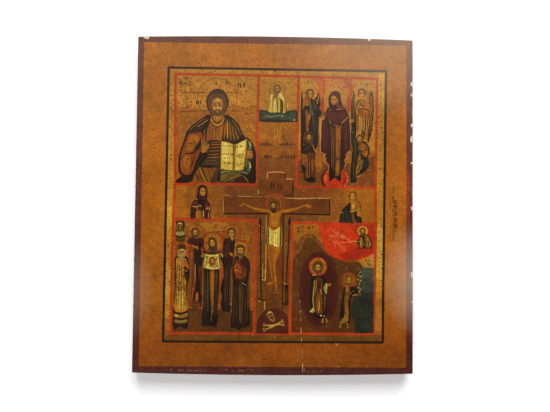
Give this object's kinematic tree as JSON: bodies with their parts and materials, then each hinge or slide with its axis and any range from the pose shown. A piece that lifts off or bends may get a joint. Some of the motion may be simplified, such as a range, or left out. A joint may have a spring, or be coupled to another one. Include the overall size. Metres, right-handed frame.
{
  "type": "icon panel",
  "caption": "Flat painted wooden icon panel with red-framed scenes round a crucifixion, an ochre border and a dark rounded edge; tapered battens are let into its back.",
  "frame": {"origin": "centre of the bounding box's base: the plane of the battens' undersides, under the middle of the panel", "axes": "+X to the picture's right, +Y to the picture's top, +Z out of the painted face"},
  "size_m": [0.2584, 0.315, 0.0273],
  "materials": {
    "board_wood": "aged bare wood behind, worn maroon paint on the sides",
    "painted_gesso": "tempera and gold on gesso under an aged varnish",
    "batten_wood": "aged planed wood"
  },
  "bodies": {
    "root": {"board": "board_wood", "gesso_ground": "painted_gesso", "batten_upper": "batten_wood", "batten_lower": "batten_wood"}
  },
  "joints": []
}
